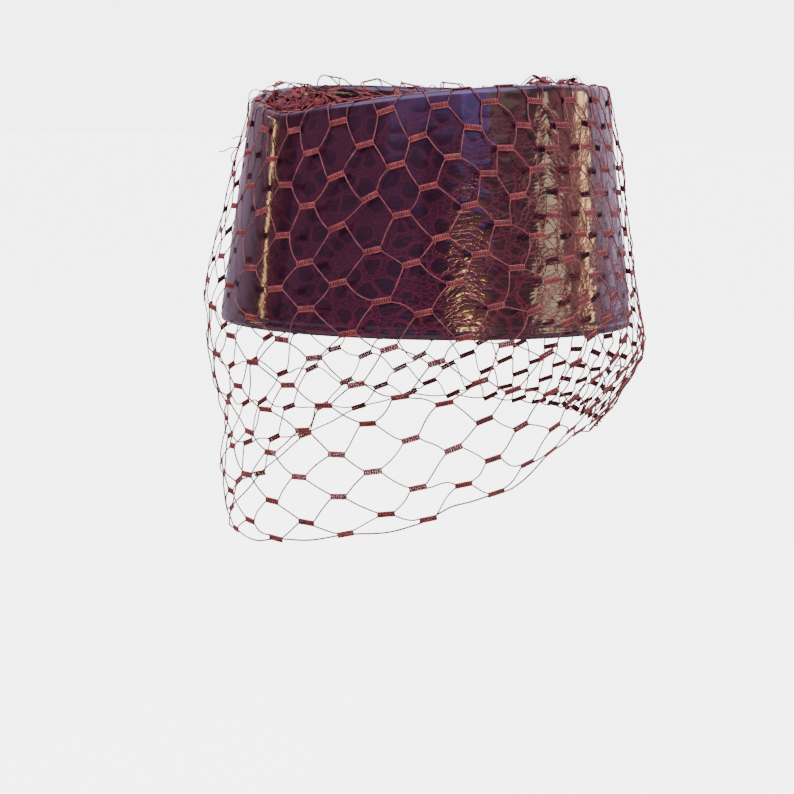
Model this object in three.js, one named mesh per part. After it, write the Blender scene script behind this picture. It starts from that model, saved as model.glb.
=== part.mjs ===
import * as THREE from 'three';

// A pillbox hat with a face veil, in millimetres. +Z is up and the wearer faces -Y.
// The origin is the middle of the head opening, level with the hat's lower edge.
// Every piece is lofted round the vertical axis: a section is a list of points
// { out, up }, where out is the distance from the axis and up is the height.

// Hat body. FRONT_DIP_REACH and FRONT_DIP_ROUNDING are degrees round from the front.
const LOWER_EDGE_LENGTH = 206;
const LOWER_EDGE_WIDTH = 191;
const RIM_HEIGHT = 114;
const RIM_INSET = 15;
const FRONT_DIP = 18;
const FRONT_DIP_REACH = 103;
const FRONT_DIP_SHARPNESS = 1.8;
const FRONT_DIP_ROUNDING = 7;
const WALL = 2;
const ROLL_RADIUS = 3.3;
const TURNED_HEM_HEIGHT = 12;
const TURNED_HEM_THICKNESS = 3;

// Crown tip
const TIP_THICKNESS = 2;
const FRONT_RECESS = 6;

// Veil. VEIL_WRAP is how far it follows the rolled edge, in degrees from the outside.
const VEIL_THICKNESS = 1;
const VEIL_LIFT = 0.6;
const VEIL_WRAP = 150;
const VEIL_BULGE = 10;
const VEIL_FRONT_DROP = 98;
const VEIL_BACK_DROP = 47;
const HEM_THREAD = 1.4;

// Gathers of the veil in the sunken crown
const GATHER_WIDTH = 48;
const GATHER_MARGIN = 2;
const HEAP_LENGTH = 28;
const HEAP_WIDTH = 38;
const HEAP_TO_VEIL = 1;
const FRONT_HEAP_HEIGHT = 20;
const BACK_HEAP_HEIGHT = 29;
const STRIP_WIDTH = 24;
const STRIP_HEIGHT = 18;
const STRIP_TO_HEAP = 0.5;

// Gap between pieces that touch
const SEAT_GAP = 0.3;

const STEPS_ROUND = 60;
const HEAP_STEPS_ROUND = 24;
const ROLL_STEPS = 4;
const HEM_THREAD_SIDES = 6;

// Stand-off of the veil from the wall, in shares of VEIL_BULGE, at heights in shares of the rim height.
const VEIL_ON_WALL = [
  { up: 0.90, front: 0.15, back: 0.15 },
  { up: 0.74, front: 0.50, back: 0.35 },
  { up: 0.50, front: 0.65, back: 0.30 },
  { up: 0.25, front: 0.95, back: 0.30 },
  { up: 0.10, front: 0.90, back: 0.45 },
];

// The same stand-off, from the lower edge, at depths in shares of the drop below that edge.
const VEIL_BELOW_EDGE = [
  { down: 0.00, front: 0.60, back: 0.70 },
  { down: 0.15, front: 0.50, back: 0.75 },
  { down: 0.30, front: 0.25, back: 0.72 },
  { down: 0.45, front: -0.35, back: 0.40 },
  { down: 0.55, front: -0.40, back: 0.10 },
  { down: 0.68, front: -0.15, back: -0.35 },
  { down: 0.84, front: -0.30, back: -0.85 },
  { down: 1.00, front: -0.60, back: -1.60 },
];

// How the veil's drop falls from the front (1) to the back (0), at degrees round from the front
// to the wearer's left. The net hangs a little lower on the right.
const VEIL_DROP_ROUND = [
  { turn: -180, drop: 0.00 },
  { turn: -120, drop: 0.00 },
  { turn: -100, drop: 0.18 },
  { turn: -80, drop: 0.45 },
  { turn: -58, drop: 0.80 },
  { turn: -30, drop: 1.00 },
  { turn: 0, drop: 1.00 },
  { turn: 23, drop: 0.88 },
  { turn: 45, drop: 0.76 },
  { turn: 53, drop: 0.70 },
  { turn: 61, drop: 0.53 },
  { turn: 78, drop: 0.44 },
  { turn: 92, drop: 0.16 },
  { turn: 104, drop: 0.00 },
  { turn: 180, drop: 0.00 },
];

// Slack of the veil between its gathers (0) and the rim (1), as shares of the way out and up.
const VEIL_IN_RECESS = [
  { out: 0.00, up: 0.45 },
  { out: 0.40, up: 0.55 },
  { out: 0.75, up: 0.78 },
];

// Crumpled outline of a heap of netting: widths and heights as shares of the heap's own.
const HEAP_LEVELS = [
  { wide: 0.86, up: 0.00 },
  { wide: 1.00, up: 0.28 },
  { wide: 0.92, up: 0.58 },
  { wide: 0.62, up: 0.86 },
  { wide: 0.26, up: 0.99 },
];
const HEAP_LUMPS = 5;
const HEAP_LUMP_DEPTH = 0.07;

const point = (out, up) => ({ out, up });
const mix = (from, to, share) => from + (to - from) * share;

// Degrees round from the front, from -180 to 180, with the wearer's left positive.
function turnFromFront(angle) {
  return THREE.MathUtils.radToDeg(Math.atan2(Math.sin(angle), Math.cos(angle)));
}

function backShare(angle) {
  return (1 - Math.cos(angle)) / 2;
}

// Value of a column at a place in a table, on a smooth curve through its rows.
function readTable(rows, key, column, at) {
  const last = rows.length - 1;
  const next = THREE.MathUtils.clamp(rows.findIndex((row) => row[key] >= at), 1, last);
  const [before, from, to, after] = [-2, -1, 0, 1]
    .map((step) => rows[THREE.MathUtils.clamp(next + step, 0, last)]);
  const span = to[key] - from[key];
  const slope = (low, high) => span * (high[column] - low[column]) / (high[key] - low[key]);
  const t = (at - from[key]) / span;
  return from[column] * (2 * t ** 3 - 3 * t ** 2 + 1) + to[column] * (3 * t ** 2 - 2 * t ** 3)
    + slope(before, to) * (t ** 3 - 2 * t ** 2 + t) + slope(from, after) * (t ** 3 - t ** 2);
}

// Height of the top of the rolled edge: level at the sides and back, and dipped at the front.
function rimHeight(angle) {
  const turn = Math.hypot(turnFromFront(angle), FRONT_DIP_ROUNDING);
  const share = Math.max(0, 1 - turn / FRONT_DIP_REACH);
  return RIM_HEIGHT - FRONT_DIP * share ** FRONT_DIP_SHARPNESS;
}

// Direction from the axis to the wall, and the wall's distance from the axis at a height.
function direction(angle) {
  const away = new THREE.Vector2(LOWER_EDGE_WIDTH * Math.sin(angle), -LOWER_EDGE_LENGTH * Math.cos(angle));
  return away.normalize();
}

function wallOut(angle, up) {
  const inset = RIM_INSET * up / RIM_HEIGHT;
  const x = (LOWER_EDGE_WIDTH / 2 - inset) * Math.sin(angle);
  const y = (LOWER_EDGE_LENGTH / 2 - inset) * Math.cos(angle);
  return Math.hypot(x, y);
}

const tipTop = RIM_HEIGHT - FRONT_DIP - FRONT_RECESS;
const tipBottom = tipTop - TIP_THICKNESS;

// Points on an arc in the section plane, from one angle to another in degrees.
function arc(centre, radius, fromDegrees, toDegrees, steps) {
  const points = [];
  for (let step = 0; step <= steps; step += 1) {
    const turn = THREE.MathUtils.degToRad(mix(fromDegrees, toDegrees, step / steps));
    points.push(point(centre.out + radius * Math.cos(turn), centre.up + radius * Math.sin(turn)));
  }
  return points;
}

function place(angle, { out, up }) {
  const away = direction(angle);
  return [away.x * out, away.y * out, up];
}

function closedGeometry(positions, triangles) {
  const geometry = new THREE.BufferGeometry();
  geometry.setAttribute('position', new THREE.Float32BufferAttribute(positions, 3));
  geometry.setIndex(triangles);
  geometry.computeVertexNormals();
  return geometry;
}

// A closed ring: the section turns round the axis. Its points run clockwise seen with out to the right.
function ringGeometry(sectionAt) {
  const positions = [];
  const triangles = [];
  const count = sectionAt(0).length;
  for (let step = 0; step < STEPS_ROUND; step += 1) {
    const angle = 2 * Math.PI * step / STEPS_ROUND;
    sectionAt(angle).forEach((at) => positions.push(...place(angle, at)));
  }
  for (let step = 0; step < STEPS_ROUND; step += 1) {
    const here = step * count;
    const there = ((step + 1) % STEPS_ROUND) * count;
    for (let index = 0; index < count; index += 1) {
      const next = (index + 1) % count;
      triangles.push(here + index, here + next, there + next);
      triangles.push(here + index, there + next, there + index);
    }
  }
  return closedGeometry(positions, triangles);
}

// A closed stack: rings of points from the lowest to the highest, with a flat end below and above.
function stackGeometry(levels) {
  const positions = [];
  const triangles = [];
  const count = levels[0].length;
  levels.flat().forEach((at) => positions.push(...at));
  const ends = [levels[0], levels[levels.length - 1]].map((ring) => {
    const middle = [0, 1, 2].map((axis) => ring.reduce((sum, at) => sum + at[axis], 0) / count);
    positions.push(...middle);
    return positions.length / 3 - 1;
  });
  const last = (levels.length - 1) * count;
  for (let index = 0; index < count; index += 1) {
    const next = (index + 1) % count;
    for (let here = 0; here < last; here += count) {
      triangles.push(here + index, here + next, here + count + next);
      triangles.push(here + index, here + count + next, here + count + index);
    }
    triangles.push(ends[0], next, index);
    triangles.push(ends[1], last + index, last + next);
  }
  return closedGeometry(positions, triangles);
}

// Side band: leather wall, turned up inside at the lower edge and rolled over the rim down to the tip.
function sideBandSection(angle) {
  const rim = rimHeight(angle);
  const face = (inset, up) => point(wallOut(angle, up) - inset, up);
  const hemMiddle = face(TURNED_HEM_THICKNESS / 2, TURNED_HEM_THICKNESS / 2);
  const rollMiddle = face(ROLL_RADIUS, rim - ROLL_RADIUS);
  return [
    ...arc(rollMiddle, ROLL_RADIUS, 180, 0, 2 * ROLL_STEPS),
    ...arc(hemMiddle, TURNED_HEM_THICKNESS / 2, 0, -180, ROLL_STEPS),
    face(TURNED_HEM_THICKNESS, TURNED_HEM_HEIGHT),
    face(WALL, TURNED_HEM_HEIGHT + TURNED_HEM_THICKNESS - WALL),
    face(WALL, tipTop),
    ...arc(rollMiddle, ROLL_RADIUS - WALL, 0, 180, ROLL_STEPS),
    point(rollMiddle.out - ROLL_RADIUS + WALL, tipTop + SEAT_GAP),
    point(rollMiddle.out - ROLL_RADIUS, tipTop + SEAT_GAP),
  ];
}

// Crown tip: a flat oval panel that fills the band, set below the rim.
function crownTipLevels() {
  return [tipBottom, tipTop].map((up) => {
    const ring = [];
    for (let step = 0; step < STEPS_ROUND; step += 1) {
      const angle = 2 * Math.PI * step / STEPS_ROUND;
      ring.push(place(angle, point(wallOut(angle, up) - WALL - SEAT_GAP, up)));
    }
    return ring;
  });
}

function veilDrop(angle) {
  const share = readTable(VEIL_DROP_ROUND, 'turn', 'drop', turnFromFront(angle));
  return mix(VEIL_BACK_DROP, VEIL_FRONT_DROP, share);
}

// Half length of the gathers: up to the veil where it comes down inside the rolled edge.
const gatherHalfLength = [0, Math.PI].map((angle) => wallOut(angle, rimHeight(angle)))
  .reduce((least, out) => Math.min(least, out))
  - 2 * ROLL_RADIUS - VEIL_LIFT - VEIL_THICKNESS - GATHER_MARGIN;

// Distance from the axis to the edge of the gathers, an oval with straight sides.
function gatherOut(angle) {
  const away = direction(angle);
  const half = GATHER_WIDTH / 2;
  const endMiddle = gatherHalfLength - half;
  const side = half / Math.abs(away.x);
  if (side * Math.abs(away.y) <= endMiddle) {
    return side;
  }
  return endMiddle * Math.abs(away.y) + Math.sqrt(half ** 2 - (endMiddle * away.x) ** 2);
}

// Outer side of the veil: from the gathers over the rolled edge, down the wall and free to the hem.
function veilOuterLine(angle) {
  const rim = rimHeight(angle);
  const rollOut = wallOut(angle, rim - ROLL_RADIUS) - ROLL_RADIUS;
  const rollMiddle = point(rollOut, rim - ROLL_RADIUS);
  const rollCover = ROLL_RADIUS + VEIL_LIFT + VEIL_THICKNESS;
  const overRim = arc(rollMiddle, rollCover, VEIL_WRAP, 0, ROLL_STEPS);
  const gathers = gatherOut(angle);
  const drop = veilDrop(angle);
  const standOff = (row) => VEIL_BULGE * mix(row.front, row.back, backShare(angle));
  const cover = VEIL_LIFT + VEIL_THICKNESS;
  return [
    ...VEIL_IN_RECESS.map((row) => point(
      mix(gathers, overRim[0].out, row.out),
      mix(tipTop, overRim[0].up, row.up),
    )),
    ...overRim,
    ...VEIL_ON_WALL.map((row) => {
      const up = row.up * (rim - ROLL_RADIUS);
      return point(wallOut(angle, up) + Math.max(cover, standOff(row)), up);
    }),
    ...VEIL_BELOW_EDGE.map((row) => point(wallOut(angle, 0) + standOff(row), -row.down * drop)),
  ];
}

// The other side of a line of points, at a thickness to its right.
function thickened(line, thickness) {
  return line.map((at, index) => {
    const before = line[Math.max(index - 1, 0)];
    const after = line[Math.min(index + 1, line.length - 1)];
    const along = new THREE.Vector2(after.out - before.out, after.up - before.up).normalize();
    return point(at.out + along.y * thickness, at.up - along.x * thickness);
  });
}

function veilSection(angle) {
  const outer = veilOuterLine(angle);
  const inner = thickened(outer, VEIL_THICKNESS);
  return [...outer, ...inner.reverse()];
}

// Hem thread: one thread drawn round the veil's lower edge, in line with the veil above it.
function hemThreadSection(angle) {
  const [above, edge] = veilOuterLine(angle).slice(-2);
  const down = new THREE.Vector2(edge.out - above.out, edge.up - above.up).normalize();
  const radius = HEM_THREAD / 2;
  const below = SEAT_GAP + radius;
  const inward = VEIL_THICKNESS / 2;
  const middle = point(
    edge.out + down.x * below + down.y * inward,
    edge.up + down.y * below - down.x * inward,
  );
  const lastSide = 180 - 360 * (1 - 1 / HEM_THREAD_SIDES);
  return arc(middle, radius, 180, lastSide, HEM_THREAD_SIDES - 1);
}

// A heap of crumpled netting on the tip, with a lumpy outline.
function heapLevels({ middle, width, length, height, lumps }) {
  return HEAP_LEVELS.map((level, storey) => {
    const ring = [];
    for (let step = 0; step < HEAP_STEPS_ROUND; step += 1) {
      const angle = 2 * Math.PI * step / HEAP_STEPS_ROUND;
      const lump = 1 - HEAP_LUMP_DEPTH * (1 + Math.sin(lumps * angle + storey));
      const share = level.wide * lump / 2;
      ring.push([
        width * share * Math.cos(angle),
        middle + length * share * Math.sin(angle),
        tipTop + SEAT_GAP + height * level.up,
      ]);
    }
    return ring;
  });
}

const heapMiddle = gatherHalfLength - HEAP_TO_VEIL - HEAP_LENGTH / 2;
const frontHeap = {
  middle: -heapMiddle,
  width: HEAP_WIDTH,
  length: HEAP_LENGTH,
  height: FRONT_HEAP_HEIGHT,
  lumps: HEAP_LUMPS,
};
const backHeap = {
  middle: heapMiddle,
  width: HEAP_WIDTH,
  length: HEAP_LENGTH,
  height: BACK_HEAP_HEIGHT,
  lumps: HEAP_LUMPS + 1,
};
const strip = {
  middle: 0,
  width: STRIP_WIDTH,
  length: 2 * (heapMiddle - HEAP_LENGTH / 2 - STRIP_TO_HEAP),
  height: STRIP_HEIGHT,
  lumps: HEAP_LUMPS + 2,
};

const leather = { color: 0x3a1a2c, roughness: 0.18, metalness: 0 };
const netting = { color: 0x9a4a3c, roughness: 0.75, metalness: 0 };

function piece(name, geometry, finish) {
  const mesh = new THREE.Mesh(geometry, new THREE.MeshStandardMaterial(finish));
  mesh.name = name;
  return mesh;
}

const hat = new THREE.Group();
hat.add(piece('side_band', ringGeometry(sideBandSection), leather));
hat.add(piece('crown_tip', stackGeometry(crownTipLevels()), leather));
hat.add(piece('veil', ringGeometry(veilSection), netting));
hat.add(piece('veil_hem_thread', ringGeometry(hemThreadSection), netting));
hat.add(piece('front_gather', stackGeometry(heapLevels(frontHeap)), netting));
hat.add(piece('back_gather', stackGeometry(heapLevels(backHeap)), netting));
hat.add(piece('crown_strip', stackGeometry(heapLevels(strip)), netting));

export default hat;
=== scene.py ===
import math

import bmesh
import bpy
import numpy as np
from mathutils import Matrix, Quaternion, Vector


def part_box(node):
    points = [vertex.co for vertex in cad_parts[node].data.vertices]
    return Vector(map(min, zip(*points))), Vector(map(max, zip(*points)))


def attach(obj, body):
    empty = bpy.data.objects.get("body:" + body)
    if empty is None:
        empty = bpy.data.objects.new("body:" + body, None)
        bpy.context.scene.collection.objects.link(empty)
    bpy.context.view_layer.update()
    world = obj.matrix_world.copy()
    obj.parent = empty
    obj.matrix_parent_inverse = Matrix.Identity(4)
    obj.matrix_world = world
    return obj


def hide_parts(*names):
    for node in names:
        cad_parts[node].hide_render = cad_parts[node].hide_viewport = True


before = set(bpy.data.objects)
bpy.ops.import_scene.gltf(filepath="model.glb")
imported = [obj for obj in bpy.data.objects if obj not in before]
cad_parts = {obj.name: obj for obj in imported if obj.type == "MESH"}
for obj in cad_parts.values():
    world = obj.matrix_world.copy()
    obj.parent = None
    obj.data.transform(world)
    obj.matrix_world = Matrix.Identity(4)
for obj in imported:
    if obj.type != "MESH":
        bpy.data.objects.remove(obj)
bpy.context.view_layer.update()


# Side band. A strip of crocodile-grained patent leather on a stiff base, joined at the centre back.
# Its lower edge is turned up inside, and its upper edge is rolled over the rim and down to the tip.

MM = 0.001
BAND_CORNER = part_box("side_band")[1]
TIP_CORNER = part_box("crown_tip")[1]
EDGE_HALF_WIDTH = BAND_CORNER.x
EDGE_HALF_LENGTH = BAND_CORNER.y
RIM_HEIGHT = BAND_CORNER.z
TIP_TOP = TIP_CORNER.z
RIM_INSET = 15 * MM
FRONT_DIP = 18 * MM
FRONT_DIP_REACH = 103
FRONT_DIP_SHARPNESS = 1.8
FRONT_DIP_ROUNDING = 7
WALL = 2 * MM
ROLL = 3.3 * MM
HEM_HEIGHT = 12 * MM
HEM_THICKNESS = 3 * MM
HEM_BEAD = 3.2 * MM
HEM_BEAD_INSET = 1.2 * MM
HEM_CREASE_DEPTH = 0.55 * MM
SEAM_HALF = 1.4 * MM
SEAM_DEPTH = 0.45 * MM
BAND_STEPS = 600
BAND_PITCH = 1.0 * MM
SCALE_SIZE = 10.0
SCALE_RADIUS = 4.4
SCALE_RELIEF = 0.12 * MM
AUBERGINE = (0.036, 0.0065, 0.019, 1)
AUBERGINE_DEEP = (0.020, 0.0045, 0.014, 1)
CREASE_RED = (0.200, 0.020, 0.042, 1)
FAINT_UNTIL = 40
BOLD_FROM = 125
FAINT_SHARE = 0.28
PLAIN_FROM = 108
SMALL_CELL = 2.4
LONG_CELL = 4.2
CREASE_DEPTH = 0.025
PILLOW_RISE = 0.025
BEAD_RISE = 0.02


def rim_height(turn):
    """Height of the rim at degrees round from the front: level behind, dipped in front."""
    share = np.clip(1 - np.hypot(turn, FRONT_DIP_ROUNDING) / FRONT_DIP_REACH, 0, 1)
    return RIM_HEIGHT - FRONT_DIP * share ** FRONT_DIP_SHARPNESS


def turn_of(x, y):
    """Degrees round from the front, to the hat's left, of a place in plan."""
    return np.degrees(np.arctan2(x / EDGE_HALF_WIDTH, -y / EDGE_HALF_LENGTH))


def wall_out(turn, up):
    """Distance from the axis to the outside of the wall, which leans in towards the rim."""
    inset = RIM_INSET * up / RIM_HEIGHT
    angle = np.radians(turn)
    sideways = (EDGE_HALF_WIDTH - inset) * np.sin(angle)
    forwards = (EDGE_HALF_LENGTH - inset) * np.cos(angle)
    return np.hypot(sideways, forwards)


def in_plan(turn, out):
    """x and y at a distance from the axis."""
    x = EDGE_HALF_WIDTH * np.sin(np.radians(turn))
    y = -EDGE_HALF_LENGTH * np.cos(np.radians(turn))
    length = np.hypot(x, y)
    return x / length * out, y / length * out


def spun(name, profile, steps, closed=True):
    """Spins a section once round the axis. Each vertex keeps the values of its row."""
    section = bmesh.new()
    layers = {key: section.verts.layers.float.new(key) for key in profile[0]}
    verts = []
    for row in profile:
        vert = section.verts.new((1 - row["inset"], 0, row["base"] + row["follow"] * RIM_HEIGHT))
        for key, value in row.items():
            vert[layers[key]] = value
        verts.append(vert)
    pairs = list(zip(verts, verts[1:] + verts[:1]))
    for pair in pairs if closed else pairs[:-1]:
        section.edges.new(pair)
    line = bpy.data.meshes.new(name)
    section.to_mesh(line)
    section.free()
    holder = bpy.data.objects.new(name, line)
    bpy.context.scene.collection.objects.link(holder)
    turn = holder.modifiers.new(name, "SCREW")
    turn.steps = steps
    turn.render_steps = steps
    turn.use_merge_vertices = True
    turn.merge_threshold = 1e-7
    finished = holder.evaluated_get(bpy.context.evaluated_depsgraph_get())
    mesh = bpy.data.meshes.new_from_object(finished)
    bpy.data.objects.remove(holder)
    bpy.data.meshes.remove(line)
    bm = bmesh.new()
    bm.from_mesh(mesh)
    bmesh.ops.recalc_face_normals(bm, faces=bm.faces)
    bm.to_mesh(mesh)
    bm.free()
    return mesh


def values_of(mesh, key):
    """One value for each vertex, kept by spun, which is then taken off the mesh."""
    found = np.zeros(len(mesh.vertices), np.float32)
    mesh.attributes[key].data.foreach_get("value", found)
    mesh.attributes.remove(mesh.attributes[key])
    return found


def places_of(mesh):
    """The place of each vertex."""
    places = np.zeros(len(mesh.vertices) * 3, np.float32)
    mesh.vertices.foreach_get("co", places)
    return places.reshape(-1, 3).astype(float)


def put_places(mesh, places):
    """Moves each vertex to its place."""
    mesh.vertices.foreach_set("co", places.astype(np.float32).ravel())
    mesh.update()


def add_piece(name, mesh, *materials):
    """An object of its own for a mesh that lies where it belongs, shaded smooth, on the hat's body."""
    piece = bpy.data.objects.new(name, mesh)
    bpy.context.scene.collection.objects.link(piece)
    for material in materials:
        mesh.materials.append(material)
    mesh.shade_smooth()
    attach(piece, "root")
    return piece


def node(tree, kind, *inputs, **settings):
    """Adds a node, with its settings and its first inputs: sockets are linked, values are set."""
    made = tree.nodes.new(kind)
    for key, value in settings.items():
        setattr(made, key, value)
    for socket, value in zip(made.inputs, inputs):
        if isinstance(value, bpy.types.NodeSocket):
            tree.links.new(value, socket)
        elif value is not None:
            socket.default_value = value
    return made


def math_node(tree, operation, *inputs):
    return node(tree, "ShaderNodeMath", *inputs, operation=operation).outputs[0]


def ramp(tree, value, low, high, start=0.0, end=1.0):
    """Goes smoothly from start to end as the value goes from low to high."""
    made = node(tree, "ShaderNodeMapRange", value, low, high, start, end,
                interpolation_type="SMOOTHSTEP")
    return made.outputs[0]


def swayed(tree, flat, size, amount):
    """The flat place moved about by a soft noise, so that a pattern on it runs unevenly."""
    cloud = node(tree, "ShaderNodeTexNoise", flat, noise_dimensions="2D")
    cloud.inputs["Scale"].default_value = 1 / size
    cloud.inputs["Detail"].default_value = 1
    middle_grey = (0.5, 0.5, 0.5)
    centred = node(tree, "ShaderNodeVectorMath", cloud.outputs["Color"], middle_grey, operation="SUBTRACT")
    moved = node(tree, "ShaderNodeVectorMath", centred.outputs[0], operation="SCALE")
    moved.inputs["Scale"].default_value = amount
    return node(tree, "ShaderNodeVectorMath", flat, moved.outputs[0], operation="ADD").outputs[0]


def cell_edges(tree, flat, size, stretch=(1, 1, 1), randomness=1.0):
    """Distance in millimetres to the nearest edge of uneven cells of that size."""
    scaled = node(tree, "ShaderNodeVectorMath", flat, stretch, operation="MULTIPLY").outputs[0]
    cells = node(tree, "ShaderNodeTexVoronoi", scaled, voronoi_dimensions="2D", feature="DISTANCE_TO_EDGE")
    cells.inputs["Scale"].default_value = 1 / size
    cells.inputs["Randomness"].default_value = randomness
    return math_node(tree, "MULTIPLY", cells.outputs["Distance"], size)


def big_scales(tree, flat):
    """Millimetres inside the rounded outline of a large scale: below nought between the scales."""
    moved = swayed(tree, flat, 13, 4.2)
    between = cell_edges(tree, moved, SCALE_SIZE, (0.95, 1.03, 1), 0.85)
    stretched = node(tree, "ShaderNodeVectorMath", moved, (0.95, 1.03, 1), operation="MULTIPLY").outputs[0]
    middle = node(tree, "ShaderNodeTexVoronoi", stretched, voronoi_dimensions="2D", feature="F1")
    middle.inputs["Scale"].default_value = 1 / SCALE_SIZE
    middle.inputs["Randomness"].default_value = 0.85
    away = math_node(tree, "MULTIPLY", middle.outputs["Distance"], SCALE_SIZE)
    patches = node(tree, "ShaderNodeTexNoise", flat, noise_dimensions="2D")
    patches.inputs["Scale"].default_value = 1 / 15
    radius = ramp(tree, patches.outputs["Fac"], 0.34, 0.50, SCALE_RADIUS * 0.70, SCALE_RADIUS * 1.12)
    inside_round = math_node(tree, "SUBTRACT", radius, away)
    inside_edge = math_node(tree, "SUBTRACT", between, 0.45)
    return math_node(tree, "MINIMUM", inside_round, inside_edge)


def boldness(tree, flat):
    """How boldly the leather is embossed: faint by the front and the rim, bold at the side and low."""
    apart = node(tree, "ShaderNodeSeparateXYZ", flat)
    slanted = math_node(tree, "MULTIPLY_ADD", apart.outputs[1], -0.9, apart.outputs[0])
    return ramp(tree, math_node(tree, "ADD", slanted, 45), FAINT_UNTIL, BOLD_FROM, FAINT_SHARE, 1.0)


def emboss(name, mesh):
    """Presses the large scales into the mesh, where its skin value is 1."""
    tree = bpy.data.node_groups.new(name, "GeometryNodeTree")
    tree.interface.new_socket("Geometry", in_out="INPUT", socket_type="NodeSocketGeometry")
    tree.interface.new_socket("Geometry", in_out="OUTPUT", socket_type="NodeSocketGeometry")
    flat = node(tree, "GeometryNodeInputNamedAttribute", "leather", data_type="FLOAT_VECTOR").outputs[0]
    skin = node(tree, "GeometryNodeInputNamedAttribute", "skin", data_type="FLOAT").outputs[0]
    scales = big_scales(tree, flat)
    inside = node(tree, "ShaderNodeMapRange", scales, 0.0, SCALE_RADIUS, 1.0, 0.0).outputs[0]
    pressed = math_node(tree, "MULTIPLY", math_node(tree, "MULTIPLY", inside, inside), -SCALE_RELIEF)
    depth = math_node(tree, "MULTIPLY", math_node(tree, "MULTIPLY", pressed, boldness(tree, flat)), skin)
    normal = node(tree, "GeometryNodeInputNormal").outputs[0]
    offset = node(tree, "ShaderNodeVectorMath", normal, operation="SCALE")
    tree.links.new(depth, offset.inputs["Scale"])
    pushed = node(tree, "GeometryNodeSetPosition")
    source = node(tree, "NodeGroupInput")
    result = node(tree, "NodeGroupOutput")
    tree.links.new(source.outputs[0], pushed.inputs["Geometry"])
    tree.links.new(offset.outputs[0], pushed.inputs["Offset"])
    tree.links.new(pushed.outputs[0], result.inputs[0])
    holder = bpy.data.objects.new(name, mesh)
    bpy.context.scene.collection.objects.link(holder)
    holder.modifiers.new(name, "NODES").node_group = tree
    finished = holder.evaluated_get(bpy.context.evaluated_depsgraph_get())
    pressed_mesh = bpy.data.meshes.new_from_object(finished)
    bpy.data.objects.remove(holder)
    bpy.data.node_groups.remove(tree)
    return pressed_mesh


def leather_map(mesh, flat):
    """Writes the flat place of each corner, in millimetres, as the mesh's own UV map."""
    layer = mesh.uv_layers.new(name="leather")
    layer.uv.foreach_set("vector", (flat / MM).astype(np.float32).ravel())


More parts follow.
